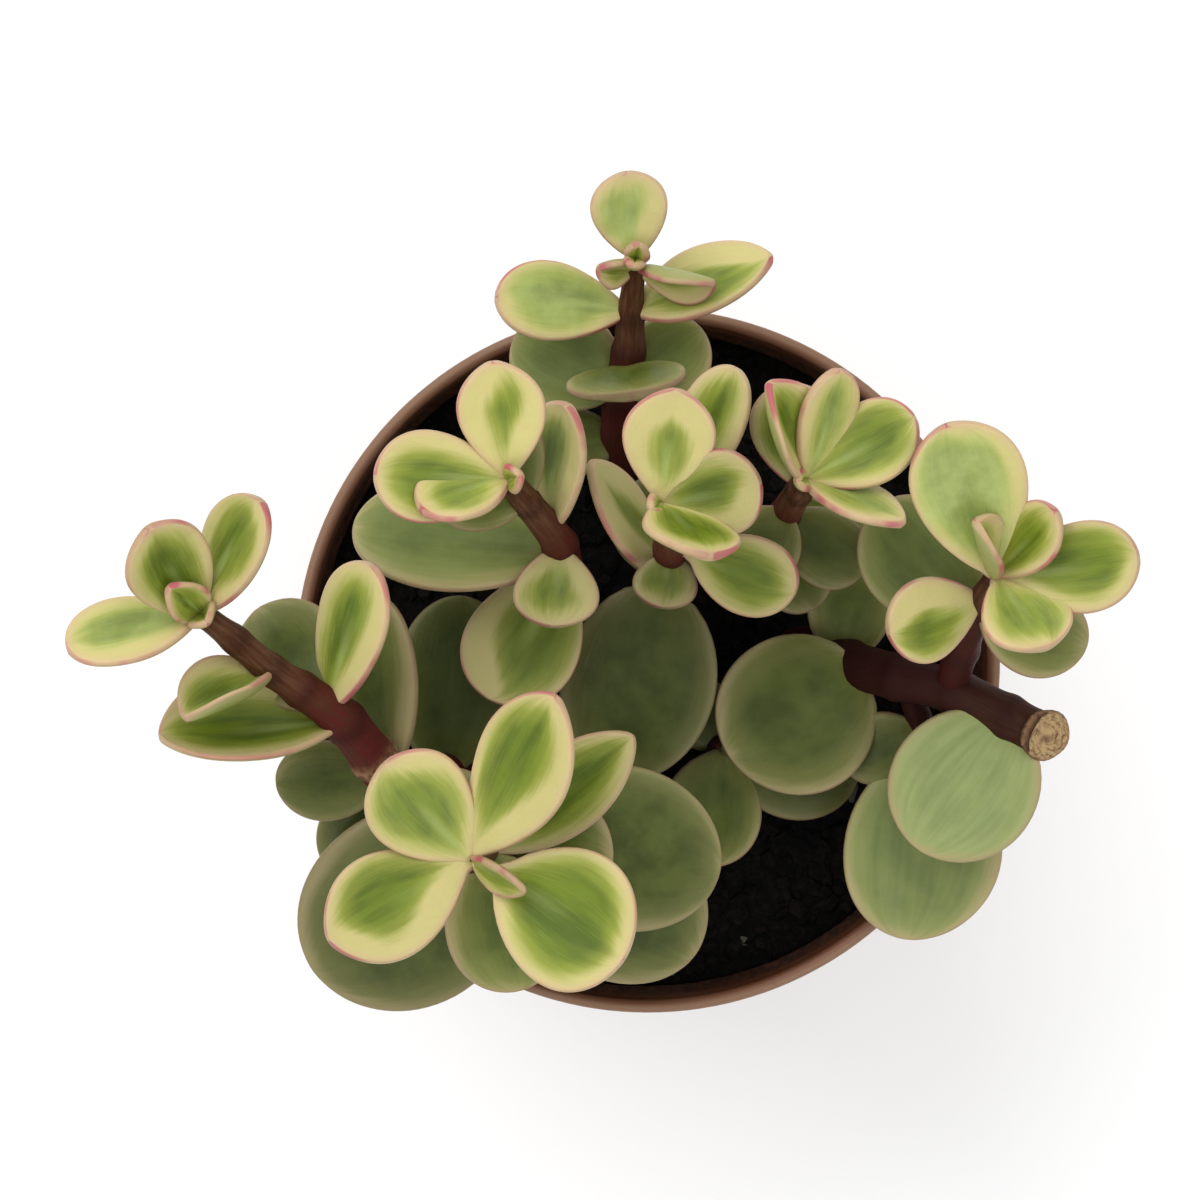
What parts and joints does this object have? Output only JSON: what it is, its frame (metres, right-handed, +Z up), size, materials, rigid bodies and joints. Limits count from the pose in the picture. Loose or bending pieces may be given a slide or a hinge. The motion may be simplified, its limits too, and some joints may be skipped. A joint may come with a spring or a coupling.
{
  "type": "potted elephant bush",
  "caption": "Round tapered nursery pot of soil with leafy succulent shoots of round fleshy leaves that rise and lean out over the rim.",
  "frame": {"origin": "centre of the pot's flat underside, on the surface that it stands on", "axes": "+Z up along the pot's axis, +Y towards the shoot that leans to the back, +X towards the thick cut stem"},
  "size_m": [0.1266, 0.1052, 0.1369],
  "materials": {
    "pot": "matte",
    "soil": "matte",
    "leaf": "satin"
  },
  "bodies": {
    "root": {"pot": "pot", "soil": "soil", "shoot_back": "leaf", "shoot_back_left": "leaf", "shoot_centre": "leaf", "shoot_back_right": "leaf", "shoot_right": "leaf", "shoot_left": "leaf", "shoot_front": "leaf", "shoot_inner": "leaf"}
  },
  "joints": []
}
